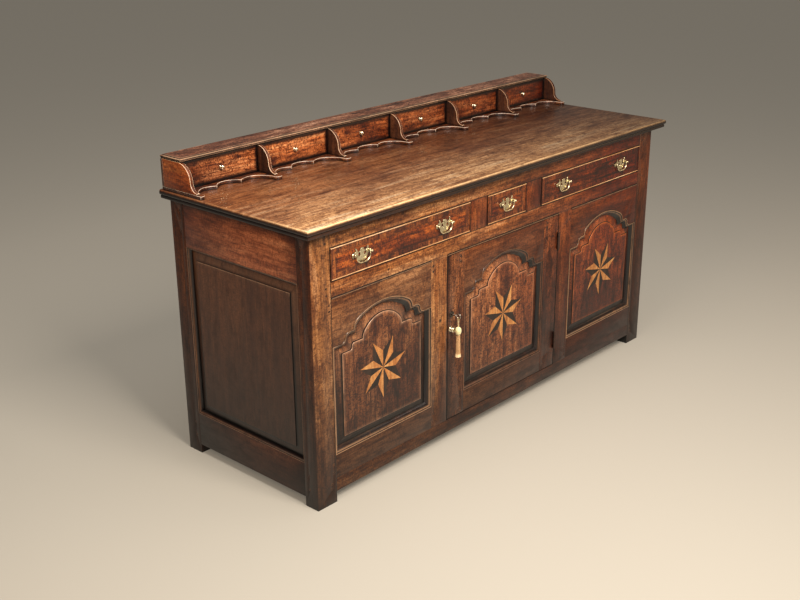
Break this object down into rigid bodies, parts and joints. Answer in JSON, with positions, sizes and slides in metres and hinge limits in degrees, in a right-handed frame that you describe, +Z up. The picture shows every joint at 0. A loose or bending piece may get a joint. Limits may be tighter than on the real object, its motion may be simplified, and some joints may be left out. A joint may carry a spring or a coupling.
{
  "type": "kitchen dresser base",
  "caption": "Low oak kitchen dresser with frieze drawers, an arched inlaid cupboard door between fixed matching panels, and a rack of small spice drawers along the back of the top",
  "frame": {"origin": "on the floor under the middle of the top's plan", "axes": "+Z up, +X to the right seen from the front, the front faces -Y"},
  "size_m": [1.794, 0.629, 0.964],
  "materials": {
    "carcass_oak": "waxed orange-brown oak with dark patina",
    "panel_oak": "waxed dark brown oak",
    "inlay": "light and dark inlay in turn, flush and waxed",
    "deal": "bare dusty softwood",
    "top_oak": "worn golden oak, waxed",
    "rack_oak": "waxed reddish oak",
    "drawer_oak": "waxed oak with a darker crossbanded border",
    "drawer_lining": "bare oak",
    "brass": "worn yellow brass",
    "iron": "dark rubbed iron",
    "cord_silk": "twisted pale gold cord",
    "bead": "pale thread wound over a wooden mould",
    "tassel_threads": "straw-coloured hanging threads"
  },
  "bodies": {
    "carcass": {"front_posts": "carcass_oak", "back_posts": "carcass_oak", "front_rails": "carcass_oak", "muntins": "carcass_oak", "bay_rails": "carcass_oak", "front_panels": "panel_oak", "front_stars": "inlay", "side_rails": "carcass_oak", "side_panels": "panel_oak", "back_rails": "deal", "back_boards": "deal", "floor_boards": "deal", "drawer_runners": "deal", "top_boards": "top_oak", "joint_pegs": "carcass_oak", "spice_base": "rack_oak", "spice_top": "rack_oak", "spice_back": "rack_oak", "spice_dividers": "rack_oak", "hinge_frame_leaves": "brass"},
    "door_leaf": {"door_stiles": "carcass_oak", "door_rails": "carcass_oak", "door_panel": "panel_oak", "door_star": "inlay", "door_pegs": "carcass_oak", "hinge_door_leaves": "brass", "door_knob": "brass", "keyhole_plate": "iron", "lock_case": "iron"},
    "bolt": {"lock_bolt": "iron"},
    "turning_key": {"key": "iron"},
    "tassel": {"tassel_cord": "cord_silk", "tassel_bead": "bead", "tassel_skirt": "tassel_threads"},
    "left_drawer": {"drawer_front_left": "drawer_oak", "drawer_box_left": "drawer_lining", "handle_plates_left": "brass"},
    "left_bail_1": {"bail_left_1": "brass"},
    "left_bail_2": {"bail_left_2": "brass"},
    "middle_drawer": {"drawer_front_middle": "drawer_oak", "drawer_box_middle": "drawer_lining", "handle_plates_middle": "brass"},
    "middle_bail_1": {"bail_middle_1": "brass"},
    "right_drawer": {"drawer_front_right": "drawer_oak", "drawer_box_right": "drawer_lining", "handle_plates_right": "brass"},
    "right_bail_1": {"bail_right_1": "brass"},
    "right_bail_2": {"bail_right_2": "brass"},
    "spice_1": {"spice_drawer_1": "rack_oak", "spice_knob_1": "brass"},
    "spice_2": {"spice_drawer_2": "rack_oak", "spice_knob_2": "brass"},
    "spice_3": {"spice_drawer_3": "rack_oak", "spice_knob_3": "brass"},
    "spice_4": {"spice_drawer_4": "rack_oak", "spice_knob_4": "brass"},
    "spice_5": {"spice_drawer_5": "rack_oak", "spice_knob_5": "brass"},
    "spice_6": {"spice_drawer_6": "rack_oak", "spice_knob_6": "brass"}
  },
  "joints": [
    {"name": "door_swing", "type": "hinge", "parent": "carcass", "child": "door_leaf", "pos_m": [0.29, -0.282, 0.355], "axis": [0, 0, 1], "range_deg": [0, 105]},
    {"name": "key_turn", "type": "hinge", "parent": "door_leaf", "child": "turning_key", "pos_m": [-0.269, -0.2775, 0.43588], "axis": [0, -1, 0], "range_deg": [0, 90]},
    {"name": "bolt_throw", "type": "slide", "parent": "door_leaf", "child": "bolt", "axis": [-1, 0, 0], "range_m": [0, 0.009]},
    {"name": "tassel_hang", "type": "hinge", "parent": "turning_key", "child": "tassel", "pos_m": [-0.269, -0.3045, 0.42838], "axis": [0, -1, 0], "range_deg": [-90, 0]},
    {"name": "left_drawer_slide", "type": "slide", "parent": "carcass", "child": "left_drawer", "axis": [0, -1, 0], "range_m": [0, 0.36]},
    {"name": "left_bail_1_swing", "type": "hinge", "parent": "left_drawer", "child": "left_bail_1", "pos_m": [-0.661, -0.2852, 0.737], "axis": [-1, 0, 0], "range_deg": [0, 90]},
    {"name": "left_bail_2_swing", "type": "hinge", "parent": "left_drawer", "child": "left_bail_2", "pos_m": [-0.307, -0.2852, 0.737], "axis": [-1, 0, 0], "range_deg": [0, 90]},
    {"name": "middle_drawer_slide", "type": "slide", "parent": "carcass", "child": "middle_drawer", "axis": [0, -1, 0], "range_m": [0, 0.36]},
    {"name": "middle_bail_1_swing", "type": "hinge", "parent": "middle_drawer", "child": "middle_bail_1", "pos_m": [0, -0.2852, 0.737], "axis": [-1, 0, 0], "range_deg": [0, 90]},
    {"name": "right_drawer_slide", "type": "slide", "parent": "carcass", "child": "right_drawer", "axis": [0, -1, 0], "range_m": [0, 0.36]},
    {"name": "right_bail_1_swing", "type": "hinge", "parent": "right_drawer", "child": "right_bail_1", "pos_m": [0.307, -0.2852, 0.737], "axis": [-1, 0, 0], "range_deg": [0, 90]},
    {"name": "right_bail_2_swing", "type": "hinge", "parent": "right_drawer", "child": "right_bail_2", "pos_m": [0.661, -0.2852, 0.737], "axis": [-1, 0, 0], "range_deg": [0, 90]},
    {"name": "spice_1_slide", "type": "slide", "parent": "carcass", "child": "spice_1", "axis": [0, -1, 0], "range_m": [0, 0.06]},
    {"name": "spice_2_slide", "type": "slide", "parent": "carcass", "child": "spice_2", "axis": [0, -1, 0], "range_m": [0, 0.06]},
    {"name": "spice_3_slide", "type": "slide", "parent": "carcass", "child": "spice_3", "axis": [0, -1, 0], "range_m": [0, 0.06]},
    {"name": "spice_4_slide", "type": "slide", "parent": "carcass", "child": "spice_4", "axis": [0, -1, 0], "range_m": [0, 0.06]},
    {"name": "spice_5_slide", "type": "slide", "parent": "carcass", "child": "spice_5", "axis": [0, -1, 0], "range_m": [0, 0.06]},
    {"name": "spice_6_slide", "type": "slide", "parent": "carcass", "child": "spice_6", "axis": [0, -1, 0], "range_m": [0, 0.06]}
  ],
  "couplings": [
    {"joint": "bolt_throw", "follows": "key_turn", "m_per_rad": 0.0057296},
    {"joint": "tassel_hang", "follows": "key_turn", "ratio": -1}
  ]
}
